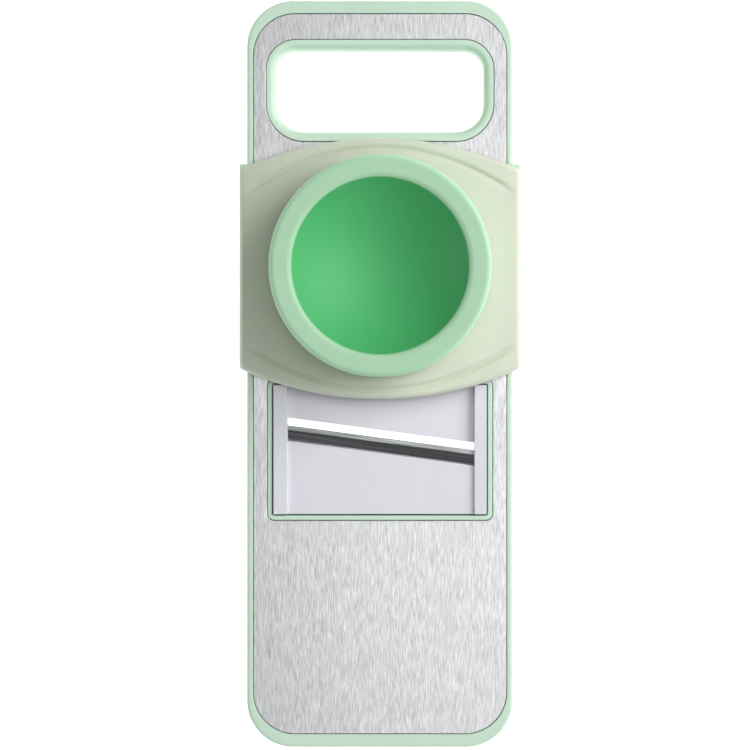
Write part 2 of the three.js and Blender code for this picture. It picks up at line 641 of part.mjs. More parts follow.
// ---- Materials and the assembly -----------------------------------------------------
const FINISHES = {
  mint: { color: 0xc5dfc9, roughness: 0.45, metalness: 0 },
  mint_cup: { color: 0x9fd6a8, roughness: 0.4, metalness: 0 },
  cream: { color: 0xdde6d3, roughness: 0.45, metalness: 0 },
  white: { color: 0xe6e6ee, roughness: 0.4, metalness: 0 },
  brushed: { color: 0xc8c8cc, roughness: 0.35, metalness: 1 },
  blade: { color: 0xb4b6ba, roughness: 0.1, metalness: 1 },
  screw: { color: 0x9fa2a6, roughness: 0.3, metalness: 1 },
  rubber: { color: 0x8aa58e, roughness: 0.8, metalness: 0 },
};

function piece(name, geometry, finish, x = 0, y = 0) {
  const mesh = new THREE.Mesh(geometry, new THREE.MeshStandardMaterial(FINISHES[finish]));
  mesh.name = name;
  mesh.position.set(x, y, 0);
  return mesh;
}

function board() {
  const group = new THREE.Group();
  group.add(piece('frame', frameGeometry(), 'mint'));
  group.add(piece('face_panel', facePanelGeometry(), 'brushed'));
  group.add(piece('back_cover', backCoverGeometry(), 'mint'));
  SCREWS.forEach(([x, y], i) => {
    group.add(piece(`back_screw_${i + 1}`, backScrewGeometry(), 'screw', x, y));
  });
  FEET.forEach(([x, y], i) => {
    group.add(piece(`foot_${i + 1}`, footGeometry(), 'rubber', x, y));
  });
  return group;
}

function bladeInsert() {
  const group = new THREE.Group();
  group.add(piece('insert_frame', insertFrameGeometry(), 'white'));
  group.add(piece('slicing_blade', slicingBladeGeometry(), 'blade'));
  group.add(piece('blade_clamp', bladeClampGeometry(), 'screw'));
  CLAMP_SCREW_X.forEach((x, i) => {
    group.add(piece(`clamp_screw_${i + 1}`, clampScrewGeometry(x), 'screw'));
  });
  return group;
}

function handGuard() {
  const group = new THREE.Group();
  group.add(piece('guard_cover', guardCoverGeometry(), 'cream'));
  group.add(piece('guard_runner_left', guardRunnerGeometry(-1), 'mint'));
  group.add(piece('guard_runner_right', guardRunnerGeometry(1), 'mint'));
  return group;
}

function pusher() {
  const group = new THREE.Group();
  group.add(piece('pusher_cup', pusherCupGeometry(), 'mint_cup'));
  group.add(piece('pin_plate', pinPlateGeometry(), 'mint_cup'));
  PINS.forEach(([x, y], i) => {
    group.add(piece(`food_pin_${i + 1}`, foodPinGeometry(), 'screw', x, y));
  });
  return group;
}

const slicer = new THREE.Group();
slicer.add(board(), bladeInsert(), handGuard(), pusher());

export default slicer;
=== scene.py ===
"""Mandoline slicer: shells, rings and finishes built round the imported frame.

Each piece has its own operator. Run as a script, it calls them all in order.
Lengths are in metres. +Y runs to the handle end of the board and +Z is up.
"""
import json
import math

import bmesh
import bpy
from bpy.props import FloatProperty, FloatVectorProperty, PointerProperty
from mathutils import Matrix, Vector


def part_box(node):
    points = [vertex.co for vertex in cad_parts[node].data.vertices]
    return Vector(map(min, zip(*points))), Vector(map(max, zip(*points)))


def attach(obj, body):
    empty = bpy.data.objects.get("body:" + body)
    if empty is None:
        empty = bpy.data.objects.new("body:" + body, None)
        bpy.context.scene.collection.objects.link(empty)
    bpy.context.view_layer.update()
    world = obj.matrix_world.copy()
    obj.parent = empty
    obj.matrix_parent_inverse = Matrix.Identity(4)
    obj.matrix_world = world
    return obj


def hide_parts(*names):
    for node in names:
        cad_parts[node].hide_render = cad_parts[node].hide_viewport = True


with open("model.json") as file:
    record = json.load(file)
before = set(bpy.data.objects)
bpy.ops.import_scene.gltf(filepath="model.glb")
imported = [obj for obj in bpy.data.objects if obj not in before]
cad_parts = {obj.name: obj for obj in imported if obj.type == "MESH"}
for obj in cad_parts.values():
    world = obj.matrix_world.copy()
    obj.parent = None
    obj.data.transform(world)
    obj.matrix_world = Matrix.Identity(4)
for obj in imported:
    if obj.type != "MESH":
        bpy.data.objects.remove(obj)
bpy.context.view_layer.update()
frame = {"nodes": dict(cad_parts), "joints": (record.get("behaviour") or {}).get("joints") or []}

bl_info = {
    "name": "Mandoline slicer",
    "version": (1, 0, 0),
    "blender": (4, 5, 0),
    "location": "3D View > Sidebar > Slicer",
    "description": "Builds a mandoline slicer piece by piece round its packed frame",
    "category": "Add Mesh",
}

MM = 0.001
GAP = 0.3 * MM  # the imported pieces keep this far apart
CORNER_STEPS = 24  # points in each round corner of an outline
EDGE_STEPS = 5  # points in each rounded edge
SMOOTH_ANGLE = math.radians(32)


def span(node):
    """A CAD node's size along X, Y and Z, its middle, and its lowest and highest Z."""
    low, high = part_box(node)
    return high - low, (low + high) / 2, low.z, high.z


def linear(hex_colour):
    """A linear colour, with alpha, from an sRGB hex value."""
    parts = [int(hex_colour[i:i + 2], 16) / 255 for i in (0, 2, 4)]
    return [c / 12.92 if c <= 0.04045 else ((c + 0.055) / 1.055) ** 2.4 for c in parts] + [1.0]


# ---- Sizes and colours ------------------------------------------------------------


def length(name, description, millimetres):
    return FloatProperty(name=name, description=description, default=millimetres * MM,
                         min=0.0, subtype="DISTANCE", unit="LENGTH")


def colour(name, description, hex_colour):
    return FloatVectorProperty(name=name, description=description, subtype="COLOR",
                               size=4, min=0.0, max=1.0, default=linear(hex_colour))


class SlicerBoard(bpy.types.PropertyGroup):
    corner: length("Corner", "Radius of the board's corners in plan", 20.5)
    edge: length("Edge", "Rounding of the board's upper edge", 1.3)
    panel_corner: length("Panel corner", "Radius of the steel's corners", 18.3)
    seam: length("Seam", "Dark gap round the steel", 0.3)
    glue_groove: length("Glue groove", "Depth of the groove below the steel's edge", 0.9)
    handle_width: length("Handle width", "Width of the finger hole", 92.0)
    handle_length: length("Handle length", "Length of the finger hole along the board", 36.4)
    handle_from_end: length("Handle from end", "Board's end to the finger hole", 21.6)
    handle_corner: length("Handle corner", "Corners of the finger hole nearer the blade", 12.5)
    handle_corner_end: length("Handle end corner", "Its corners nearer the board's end", 9.0)
    handle_ring: length("Handle ring", "Width of the ring round the finger hole", 4.5)
    handle_round: length("Handle rounding", "Rounding of the ring into the hole", 2.8)
    window_fit: length("Window fit", "Gap between the insert and the window", 0.6)
    bezel: length("Bezel", "Width of the rim of the window", 2.3)
    bezel_corner: length("Bezel corner", "Outer corner radius of that rim", 3.3)
    flange_reach: length("Flange reach", "Pocket for the insert's flange, past the window", 1.6)
    flange_thickness: length("Flange thickness", "Thickness of the insert's flange", 2.0)


class SlicerGuard(bpy.types.PropertyGroup):
    side: length("Straight side", "Length of the cover's straight sides", 87.4)
    corner: length("Corner", "Radius of the cover's corners in plan", 3.2)
    arch: length("Arch", "How much lower the sides are than the crown", 4.0)
    wall: length("Wall", "Thickness of the cover", 2.2)
    edge: length("Edge", "Rounding of the cover's upper edge", 2.1)
    band_middle: length("Band at the middle", "Middle of the cover to its band's line", 53.1)
    band_bow: length("Band bow", "How far that line falls back towards the sides", 20.5)
    band_reach: length("Band reach", "Half width over which the line runs", 60.5)
    band_groove: length("Band groove", "Depth of the groove along the line", 0.95)
    band_width: length("Band groove width", "Half width of that groove", 1.3)
    band_rise: length("Band rise", "How far the band stands above the field", 0.3)
    collar_inner: length("Collar", "Inner radius of the collar", 41.5)
    collar_wall: length("Collar wall", "Thickness of the collar", 2.4)
    collar_height: length("Collar height", "Collar above the cover's crown", 31.0)


class SlicerPusher(bpy.types.PropertyGroup):
    bowl: length("Bowl", "Radius where the bowl's curve meets its lip", 37.4)
    bowl_curve: length("Bowl curve", "Radius of the bowl's round dish", 50.3)
    bowl_wall: length("Bowl wall", "Thickness below the dish", 2.5)
    rim_round: length("Rim rounding", "Rounding of the rim's outer edge", 2.4)
    lip_round: length("Lip rounding", "Rounding of the rim's inner edge", 4.0)
    skirt_inner: length("Skirt", "Inner radius of the skirt", 44.4)
    plug: length("Plug", "Outer radius of the plug", 41.0)
    recess: length("Plate recess", "Radius of the recess that the pin plate sits in", 37.0)
    cavity: length("Cavity", "Radius of the hollow between the pin plate and the bowl", 35.4)


class SlicerColours(bpy.types.PropertyGroup):
    mint: colour("Mint", "Board, runners and window rim", "C8E2CD")
    green: colour("Green", "Pusher's rim", "ACD5B2")
    # Painted shade: the inside of the bowl gets this darker, more saturated green to stand in for
    # the shade and bounced light in the dish.
    bowl_shade_green: colour("Deep green", "Inside of the pusher's bowl", "48B068")
    cream: colour("Cream", "Guard cover", "CFD3C2")
    white: colour("White", "Blade insert", "DBDAE2")
    steel: colour("Steel", "Board's face", "D4D4D6")
    blade: colour("Blade", "Slicing blade", "C9CACC")
    rubber: colour("Rubber", "Feet", "8FAE95")


def board_sizes():
    return bpy.context.scene.slicer_board


def guard_sizes():
    return bpy.context.scene.slicer_guard


def pusher_sizes():
    return bpy.context.scene.slicer_pusher


def colours():
    return bpy.context.scene.slicer_colours


# ---- Materials --------------------------------------------------------------------


def new_material(name):
    """A material with its Principled shader, ready for nodes."""
    material = bpy.data.materials.new(name)
    material.use_nodes = True
    return material, material.node_tree.nodes["Principled BSDF"]


def node(material, kind, links=(), **values):
    """Adds a node, sets its properties and sockets, and links sockets of other nodes to it."""
    added = material.node_tree.nodes.new(kind)
    for key, value in values.items():
        if hasattr(added, key):
            setattr(added, key, value)
        else:
            added.inputs[key.replace("_", " ")].default_value = value
    for source, socket in links:
        material.node_tree.links.new(source, added.inputs[socket])
    return added


# The Mix node has sockets A, B and Result for each kind of data, so they go by number.
MIX_FLOAT_A, MIX_FLOAT_B, MIX_FLOAT_RESULT = 2, 3, 0
MIX_COLOUR_A, MIX_COLOUR_B, MIX_COLOUR_RESULT = 6, 7, 2


def link(material, source, target):
    material.node_tree.links.new(source, target)


def shade(shader, **values):
    for key, value in values.items():
        shader.inputs[key.replace("_", " ")].default_value = value


def stretched_noise(material, per_mm, detail=2.0, roughness=0.5, turn=0.0):
    """Noise with so many features to a millimetre along X, Y and Z, turned about Z."""
    where = node(material, "ShaderNodeTexCoord")
    turned = node(material, "ShaderNodeVectorRotate", [(where.outputs["Object"], "Vector")],
                  rotation_type="Z_AXIS", Angle=turn)
    scale = [count / MM for count in per_mm]
    mapping = node(material, "ShaderNodeMapping", [(turned.outputs["Vector"], "Vector")],
                   Scale=scale)
    return node(material, "ShaderNodeTexNoise", [(mapping.outputs["Vector"], "Vector")],
                Scale=1.0, Detail=detail, Roughness=roughness)


def tinted(material, source, base, spread):
    """A ramp that turns a grey pattern into the base colour, darker and lighter by spread."""
    ramp = node(material, "ShaderNodeValToRGB", [(source, "Fac")])
    for element, factor in zip(ramp.color_ramp.elements, (1 - spread, 1 + spread)):
        element.color = [min(1.0, c * factor) for c in base[:3]] + [1.0]
    ramp.color_ramp.elements[0].position = 0.3
    ramp.color_ramp.elements[1].position = 0.7
    return ramp


def roughness_from(material, source, low, high):
    """Spreads the middle half of a grey pattern between two roughnesses."""
    ranged = node(material, "ShaderNodeMapRange", [(source, "Value")], From_Min=0.25,
                  From_Max=0.75, To_Min=low, To_Max=high)
    return ranged.outputs["Result"]


def dressed(material, tint, rough, relief):
    """Links the shader to a tint (pattern, base colour, spread), a roughness (pattern, low,
    high) and a relief (pattern, strength, depth in millimetres)."""
    shader = material.node_tree.nodes["Principled BSDF"]
    link(material, tinted(material, *tint).outputs["Color"], shader.inputs["Base Color"])
    link(material, roughness_from(material, *rough), shader.inputs["Roughness"])
    pattern, strength, depth_mm = relief
    bump = node(material, "ShaderNodeBump", [(pattern, "Height")], Strength=strength,
                Distance=depth_mm * MM)
    link(material, bump.outputs["Normal"], shader.inputs["Normal"])


# Polypropylene and ABS, injection moulded in a spark-eroded tool: an even pigment with a
# faint flow mottle, a soft sheen and a fine grain, and a little light carried inside.
GRAIN_PER_MM = 2.2  # spark grain is about 0.1 mm; drawn coarser so that it shows
GRAIN_DEPTH_MM = 0.05
MOTTLE_PER_MM = 0.045
MOTTLE_SPREAD = 0.02


def moulded_plastic(name, base, rough=(0.38, 0.5), inside=0.12, depth_mm=1.5, grain=0.035):
    material, shader = new_material(name)
    mottle = stretched_noise(material, (MOTTLE_PER_MM,) * 3, detail=3.0).outputs["Fac"]
    fine = stretched_noise(material, (GRAIN_PER_MM,) * 3, detail=2.0).outputs["Fac"]
    dressed(material, (mottle, base, MOTTLE_SPREAD), (fine, *rough),
            (fine, grain, GRAIN_DEPTH_MM))
    radius = [max(c, 0.2) for c in base[:3]]
    shade(shader, IOR=1.49, Subsurface_Weight=inside, Subsurface_Radius=radius,
          Subsurface_Scale=depth_mm * MM)
    return material


def mint_abs():
    return moulded_plastic("mint_moulded_abs", colours().mint)


def cream_polypropylene():
    # Thin and milky: light passes some way through the wall.
    return moulded_plastic("cream_moulded_polypropylene", colours().cream,
                           rough=(0.4, 0.52), inside=0.25, depth_mm=3.0)


def white_abs():
    return moulded_plastic("white_moulded_abs", colours().white, rough=(0.3, 0.4),
                           inside=0.08, grain=0.02)


def green_polypropylene_painted_shade():
    # The dish is painted a deeper, more saturated green than the rim round it: painted shade
    # standing in for the shade and the light bounced between the walls deep in the bowl.
    pusher = pusher_sizes()
    material = moulded_plastic("green_moulded_polypropylene_painted_shade", colours().green, rough=(0.55, 0.68),
                               inside=0.2, depth_mm=2.0)
    shader = material.node_tree.nodes["Principled BSDF"]
    rim_colour = shader.inputs["Base Color"].links[0].from_socket
    # Painted shade: a mask of the dish inside the lip and above the skirt, where the rim's colour
    # turns to the darker bowl shade green.
    where = node(material, "ShaderNodeTexCoord")
    parts = node(material, "ShaderNodeSeparateXYZ", [(where.outputs["Object"], "Vector")])
    _, middle, _, top = span("pusher_cup")
    centred = node(material, "ShaderNodeVectorMath", [(where.outputs["Object"], 0)],
                   operation="SUBTRACT")
    centred.inputs[1].default_value = (middle.x, middle.y, 0.0)
    flat = node(material, "ShaderNodeVectorMath", [(centred.outputs["Vector"], 0)],
                operation="MULTIPLY")
    flat.inputs[1].default_value = (1.0, 1.0, 0.0)
    radius = node(material, "ShaderNodeVectorMath", [(flat.outputs["Vector"], 0)],
                  operation="LENGTH")
    inner = node(material, "ShaderNodeMapRange", [(radius.outputs["Value"], "Value")],
                 From_Min=pusher.bowl + 0.1 * MM, From_Max=pusher.bowl + 0.9 * MM,
                 To_Min=1.0, To_Max=0.0)
    below_dish = top - 20 * MM  # and higher than what shows from below
    above = node(material, "ShaderNodeMapRange", [(parts.outputs["Z"], "Value")],
                 From_Min=below_dish, From_Max=below_dish + 1 * MM, To_Min=0.0, To_Max=1.0)
    both = node(material, "ShaderNodeMath", [(inner.outputs["Result"], 0),
                                             (above.outputs["Result"], 1)], operation="MULTIPLY")
    painted_shade_mix = node(material, "ShaderNodeMix", data_type="RGBA")
    link(material, both.outputs["Value"], painted_shade_mix.inputs["Factor"])
    link(material, rim_colour, painted_shade_mix.inputs[MIX_COLOUR_A])
    painted_shade_mix.inputs[MIX_COLOUR_B].default_value = colours().bowl_shade_green
    link(material, painted_shade_mix.outputs[MIX_COLOUR_RESULT], shader.inputs["Base Color"])
    return material


# Stainless sheet brushed along the board with a belt: fine parallel scratches that catch
# light as streaks, and a glow that spreads across them.
STREAK_PER_MM = 5.0  # belt scratches are about 0.05 mm; drawn coarser so that they show
STREAK_LENGTH_MM = 5.0
STREAK_SPREAD = 0.31  # how much darker and lighter they are than the sheet
PATCH_PER_MM = (0.6, 0.02, 0.1)  # slower change in the belt's pressure, also along the board
PATCH_SHARE = 0.06


def brushed_stainless():
    material, shader = new_material("brushed_stainless_steel")
    streak = stretched_noise(material, (STREAK_PER_MM, 1 / STREAK_LENGTH_MM, 1.0),
                             detail=2.0, roughness=0.6)
    patch = stretched_noise(material, PATCH_PER_MM, detail=3.0, roughness=0.6)
    both = node(material, "ShaderNodeMix", data_type="FLOAT")
    both.inputs["Factor"].default_value = PATCH_SHARE
    link(material, streak.outputs["Fac"], both.inputs[MIX_FLOAT_A])
    link(material, patch.outputs["Fac"], both.inputs[MIX_FLOAT_B])
    pattern = both.outputs[MIX_FLOAT_RESULT]
    dressed(material, (pattern, colours().steel, STREAK_SPREAD), (pattern, 0.42, 0.3),
            (streak.outputs["Fac"], 0.12, 0.05))
    along = node(material, "ShaderNodeTangent", direction_type="RADIAL", axis="X")
    link(material, along.outputs["Tangent"], shader.inputs["Tangent"])
    shade(shader, Metallic=1.0, Anisotropic=0.6)
    return material


def drawn_steel(name, base, rough, per_mm, strength=0.05, spread=0.1, turn=0.0):
    """Steel with fine lines left by drawing, rolling or grinding."""
    material, shader = new_material(name)
    lines = stretched_noise(material, per_mm, 3.0, 0.6, turn).outputs["Fac"]
    dressed(material, (lines, base, spread), (lines, *rough), (lines, strength, 0.02))
    shade(shader, Metallic=1.0)
    return material


BLADE_TURN = math.radians(7.6)  # the blade's slant across the board


def polished_blade():
    # Blade stock polished along its length: nearly a mirror, with hairlines.
    return drawn_steel("polished_blade_steel", colours().blade, rough=(0.06, 0.15),
                       per_mm=(0.02, 2.6, 2.6), strength=0.2, spread=0.5, turn=BLADE_TURN)


def ground_bevel():
    # Ground along the edge with a fine wheel: a grey satin band.
    return drawn_steel("ground_bevel_steel", colours().blade, rough=(0.3, 0.42),
                       per_mm=(0.05, 3.0, 3.0), strength=0.3, spread=0.35, turn=BLADE_TURN)


def turned_steel():
    # Cold-headed and plated screws and drawn pins.
    return drawn_steel("plated_screw_steel", linear("B2B4B8"), rough=(0.2, 0.34),
                       per_mm=(1.0, 1.0, 4.0))


def rolled_steel():
    # Cold-rolled strip, with its lines across the board.
    return drawn_steel("rolled_clamp_steel", linear("A9ACB0"), rough=(0.3, 0.42),
                       per_mm=(0.05, 1.5, 1.5))


# Thermoplastic rubber, moulded matt, so that it grips a worktop.
def moulded_rubber():
    return moulded_plastic("moulded_rubber", colours().rubber, rough=(0.75, 0.9),
                           inside=0.0, grain=0.12)


# ---- Mesh building ----------------------------------------------------------------


def rounded_outline(width, length_y, corner, middle, end_corner=None):
    """Plan points of a rectangle with round corners, anticlockwise from its right side."""
    points = []
    end_corner = corner if end_corner is None else end_corner
    for index, radius in enumerate((end_corner, end_corner, corner, corner)):
        radius = max(radius, 0.02 * MM)
        x = (1 if index in (0, 3) else -1) * (width / 2 - radius)
        y = (1 if index < 2 else -1) * (length_y / 2 - radius)
        for step in range(CORNER_STEPS + 1):
            angle = (index + step / CORNER_STEPS) * math.pi / 2
            points.append((middle.x + x + radius * math.cos(angle),
                           middle.y + y + radius * math.sin(angle)))
    return points


def round_edge(inset, height, radius, start, end, steps=EDGE_STEPS):
    """(inset, height) points of an arc about a centre, from one angle to another, in degrees."""
    angles = [math.radians(start + (end - start) * i / steps) for i in range(steps + 1)]
    return [(inset + radius * math.cos(a), height + radius * math.sin(a)) for a in angles]


def add_ring(bm, points, height):
    return [bm.verts.new((x, y, height)) for x, y in points]


def bridge(bm, rings, closed=False):
    """Faces between one ring of vertices and the next."""
    pairs = list(zip(rings, rings[1:]))
    if closed:
        pairs.append((rings[-1], rings[0]))
    for low, high in pairs:
        count = len(low)
        for i in range(count):
            j = (i + 1) % count
            bm.faces.new((low[i], low[j], high[j], high[i]))


def swept(bm, outline, section, closed=False):
    """Carries a section of (inset, height) round an outline. Returns its rings."""
    rings = [add_ring(bm, outline(inset), height) for inset, height in section]
    bridge(bm, rings, closed)
    return rings


def fill(bm, *rings):
    """A flat face, cut into triangles, between an outer ring and the holes in it."""
    edges = []
    for ring in rings:
        for a, b in zip(ring, ring[1:] + ring[:1]):
            edges.append(bm.edges.get((a, b)) or bm.edges.new((a, b)))
    bmesh.ops.triangle_fill(bm, use_beauty=True, use_dissolve=False, edges=edges)


def finished(bm, name, body, slot, *materials, replaces=(), cutter=None,
             smooth_angle=SMOOTH_ANGLE):
    """Turns a bmesh into a piece that rides on a body, with its faces out and its edges smooth."""
    bmesh.ops.recalc_face_normals(bm, faces=bm.faces)
    piece = bpy.data.objects.new(name, mesh_from(bm, name))
    bpy.context.scene.collection.objects.link(piece)
    if cutter:
        cut_away(piece, cutter)
    piece.data.shade_smooth()
    piece.data.set_sharp_from_angle(angle=smooth_angle)
    normals = piece.modifiers.new("normals", "WEIGHTED_NORMAL")
    normals.keep_sharp = True
    bake_modifiers(piece)
    piece.data.name = name
    for material in materials:
        piece.data.materials.append(material)
    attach(piece, body)
    if replaces:
        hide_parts(*replaces)
    return piece


def mesh_from(bm, name):
    mesh = bpy.data.meshes.new(name)
    bm.to_mesh(mesh)
    bm.free()
    return mesh


def cut_away(piece, cutter_bm):
    """Cuts the solids of a bmesh out of a piece."""
    cutter = bpy.data.objects.new("cutter", mesh_from(cutter_bm, "cutter"))
    bpy.context.scene.collection.objects.link(cutter)
    cut = piece.modifiers.new("cut", "BOOLEAN")
    cut.operation = "DIFFERENCE"
    cut.solver = "EXACT"
    cut.use_self = True
    cut.object = cutter
    bake_modifiers(piece)
    bpy.data.objects.remove(cutter)


def bake_modifiers(piece):
    """Replaces a piece's mesh by the one its modifiers make."""
    bpy.context.view_layer.update()
    graph = bpy.context.evaluated_depsgraph_get()
    made = bpy.data.meshes.new_from_object(piece.evaluated_get(graph), depsgraph=graph)
    piece.modifiers.clear()
    piece.data = made


def add_block(bm, low, high, top_share=1.0):
    """A block between two corners; its top is as wide as the given share of its foot."""
    centre, size = (low + high) / 2, high - low
    for vert in bmesh.ops.create_cube(bm, size=1.0)["verts"]:
        share = top_share if vert.co.z > 0 else 1.0
        vert.co = centre + Vector((vert.co.x * size.x * share, vert.co.y * size.y * share,
                                   vert.co.z * size.z))


def lathe(bm, profile, centre, steps):
    """Turns a profile of (radius, height) about the vertical line through centre."""
    rings = []
    for radius, height in profile:
        if radius < 1e-9:
            rings.append([bm.verts.new((centre.x, centre.y, height))])
            continue
        turn = [2 * math.pi * i / steps for i in range(steps)]
        rings.append([bm.verts.new((centre.x + radius * math.cos(a),
                                    centre.y + radius * math.sin(a), height)) for a in turn])
    for low, high in zip(rings, rings[1:]):
        if len(low) == 1 and len(high) == 1:
            continue
        for i in range(steps):
            j = (i + 1) % steps
            corners = [low[i % len(low)], low[j % len(low)], high[j % len(high)],
                       high[i % len(high)]]
            bm.faces.new(list(dict.fromkeys(corners)))
    return rings


def softened(node_name, name, body, slot, material, width, segments=3, min_angle=28,
             smooth_angle=SMOOTH_ANGLE):
    """The CAD solid with its moulded edges rounded over."""
    bm = bmesh.new()
    bm.from_mesh(frame["nodes"][node_name].data)
    bmesh.ops.remove_doubles(bm, verts=bm.verts, dist=1e-6)
    bmesh.ops.dissolve_limit(bm, angle_limit=math.radians(0.8), verts=bm.verts,
                             edges=bm.edges)
    sharp = [e for e in bm.edges if len(e.link_faces) == 2
             and e.calc_face_angle() > math.radians(min_angle)]
    bmesh.ops.bevel(bm, geom=sharp, offset=width, segments=segments, profile=0.5,
                    affect="EDGES", clamp_overlap=True)
    return finished(bm, name, body, slot, material, replaces=[node_name],
                    smooth_angle=smooth_angle)


# ---- Board ------------------------------------------------------------------------


def board_outline(grow):
    size, middle, _, _ = span("frame")
    corner = board_sizes().corner
    return rounded_outline(size.x + 2 * grow, size.y + 2 * grow, corner + grow, middle)


def panel_outline(grow):
    size, middle, _, _ = span("face_panel")
    corner = board_sizes().panel_corner
    return rounded_outline(size.x + 2 * grow, size.y + 2 * grow, corner + grow, middle)


def handle_outline(grow):
    board = board_sizes()
    size, middle, _, _ = span("frame")
    y = size.y / 2 - board.handle_from_end - board.handle_length / 2
    centre = Vector((middle.x, middle.y + y, 0))
    return rounded_outline(board.handle_width + 2 * grow, board.handle_length + 2 * grow,
                           board.handle_corner + grow, centre, board.handle_corner_end + grow)


def insert_sizes():
    """The insert's plan without its flange: width, length and middle."""
    board = board_sizes()
    size, middle, _, _ = span("insert_frame")
    flange = board.flange_reach - GAP
    return size.x - 2 * flange, size.y - 2 * flange, middle


def window_outline(grow, corner=None):
    board = board_sizes()
    width, length_y, middle = insert_sizes()
    fit = board.window_fit + grow
    radius = board.bezel_corner - board.bezel + grow if corner is None else corner
    return rounded_outline(width + 2 * fit, length_y + 2 * fit, radius, middle)


def circle(centre, radius, steps=28):
    turn = [2 * math.pi * i / steps for i in range(steps)]
    return [(centre.x + radius * math.cos(a), centre.y + radius * math.sin(a)) for a in turn]


class SLICER_OT_frame(bpy.types.Operator):
    """Moulded frame: border, handle ring and window rim round a recess for the steel"""
    bl_idname = "slicer.frame"
    bl_label = "Frame"

    def execute(self, context):
        board = board_sizes()
        _, _, low, top = span("frame")
        floor = span("face_panel")[2] - GAP
        groove = floor - board.glue_groove
        shelf = 0.8 * MM  # how far the groove runs in under the steel
        soft = 0.25 * MM  # small mould radius on the inner edges
        foot, hole_foot = 0.5 * MM, 0.6 * MM  # rounding of the lower edges
        bm = bmesh.new()

        edge = board.edge
        outside = swept(bm, lambda d: board_outline(-d),
                        round_edge(foot, low + foot, foot, 270, 180)
                        + round_edge(edge, top - edge, edge, 180, 90, 8))
        border = swept(bm, panel_outline,
                       round_edge(board.seam + soft, top - soft, soft, 90, 180)
                       + [(board.seam, groove), (-shelf, groove), (-shelf, floor)])
        bridge(bm, [outside[-1], border[0]])

        around = board.handle_ring - board.seam
        roll = board.handle_round
        ring = swept(bm, handle_outline,
                     [(board.handle_ring + shelf, floor), (board.handle_ring + shelf, groove),
                      (around, groove)]
                     + round_edge(around - soft, top - soft, soft, 0, 90)
                     + round_edge(roll, top - roll, roll, 90, 180, 10)
                     + round_edge(hole_foot, low + hole_foot, hole_foot, 180, 270))

        rim = board.bezel - board.seam
        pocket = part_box("insert_frame")[0].z + board.flange_thickness + GAP
        small = 0.4 * MM
        window = swept(bm, window_outline,
                       [(board.bezel + shelf, floor), (board.bezel + shelf, groove),
                        (rim, groove)]
                       + round_edge(rim - small, top - small, small, 0, 90)
                       + round_edge(small, top - small, small, 90, 180)
                       + [(0, pocket), (board.flange_reach, pocket),
                          (board.flange_reach, low)])
        fill(bm, border[-1], ring[0], window[0])
        fill(bm, outside[0], ring[-1], window[-1])
        finished(bm, "board_frame", "board", "mint_plastic", mint_abs(), replaces=["frame"],
                 cutter=guard_grooves())
        return {"FINISHED"}


def guard_grooves():
    """The grooves in the board's sides that the guard's runners ride in, as solids."""
    low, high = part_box("guard_runner_right")
    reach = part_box("frame")[1].x
    travel = next(j for j in frame["joints"] if j["name"] == "guard_slide")["range_m"][0]
    play, lip, reach_in = 0.4 * MM, 2 * MM, 1.55 * MM
    bm = bmesh.new()
    for side in (-1, 1):
        x0, x1 = sorted((side * (reach - reach_in - play), side * (reach + lip)))
        add_block(bm, Vector((x0, low.y + travel - GAP, low.z - play)),
                  Vector((x1, high.y + GAP, low.z + lip + play)))
    return bm


class SLICER_OT_face_panel(bpy.types.Operator):
    """Brushed stainless face, with its edges rolled down a little"""
    bl_idname = "slicer.face_panel"
    bl_label = "Steel face"

    def execute(self, context):
        board = board_sizes()
        _, _, low, top = span("face_panel")
        soft = 0.18 * MM
        bm = bmesh.new()
        edge = [(0, low)] + round_edge(-soft, top - soft, soft, 0, 90)
        outer = swept(bm, panel_outline, edge)
        hole = [(0, low)] + round_edge(soft, top - soft, soft, 180, 90)
        handle = swept(bm, lambda d: handle_outline(board.handle_ring + d), hole)
        window = swept(bm, lambda d: window_outline(board.bezel + d), hole)
        fill(bm, outer[-1], handle[-1], window[-1])
        fill(bm, outer[0], handle[0], window[0])
        finished(bm, "steel_face", "board", "brushed_steel", brushed_stainless(),
                 replaces=["face_panel"])
        return {"FINISHED"}


class SLICER_OT_back_cover(bpy.types.Operator):
    """Moulded back cover with counterbored screw holes and seats for the feet"""
    bl_idname = "slicer.back_cover"
    bl_label = "Back cover"

    def execute(self, context):
        board = board_sizes()
        _, _, low, top = span("back_cover")
        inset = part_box("frame")[1].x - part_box("back_cover")[1].x
        soft = 0.6 * MM
        bm = bmesh.new()
        outer = swept(bm, lambda d: board_outline(-inset - d),
                      round_edge(soft, low + soft, soft, 270, 180) + [(0, top)])
        hole = round_edge(soft, low + soft, soft, 270, 180) + [(0, top)]
        handle = swept(bm, lambda d: handle_outline(inset + d), hole)
        window = swept(bm, lambda d: window_outline(board.flange_reach + GAP + d), hole)
        under, over = [outer[0], handle[0], window[0]], [outer[-1], handle[-1], window[-1]]
        for index in range(1, 7):
            size, middle, _, _ = span(f"back_screw_{index}")
            head, shank = size.x / 2 + GAP, 1.6 * MM
            break_edge, seat = 0.3 * MM, low + 1.4 * MM
            rings = [add_ring(bm, circle(middle, radius), height) for radius, height in (
                (head + break_edge, low), (head, low + break_edge), (head, seat),
                (shank, seat), (shank, top))]
            bridge(bm, rings)
            under.append(rings[0])
            over.append(rings[-1])
        for index in range(1, 5):
            size, middle, _, _ = span(f"foot_{index}")
            foot_recess = 1.0 * MM
            rings = [add_ring(bm, circle(middle, size.x / 2 + GAP, 48), height)
                     for height in (low, low + foot_recess)]
            bridge(bm, rings)
            fill(bm, rings[-1])
            under.append(rings[0])
        fill(bm, *under)
        fill(bm, *over)
        finished(bm, "back_cover_shell", "board", "mint_plastic", mint_abs(),
                 replaces=["back_cover"])
        return {"FINISHED"}


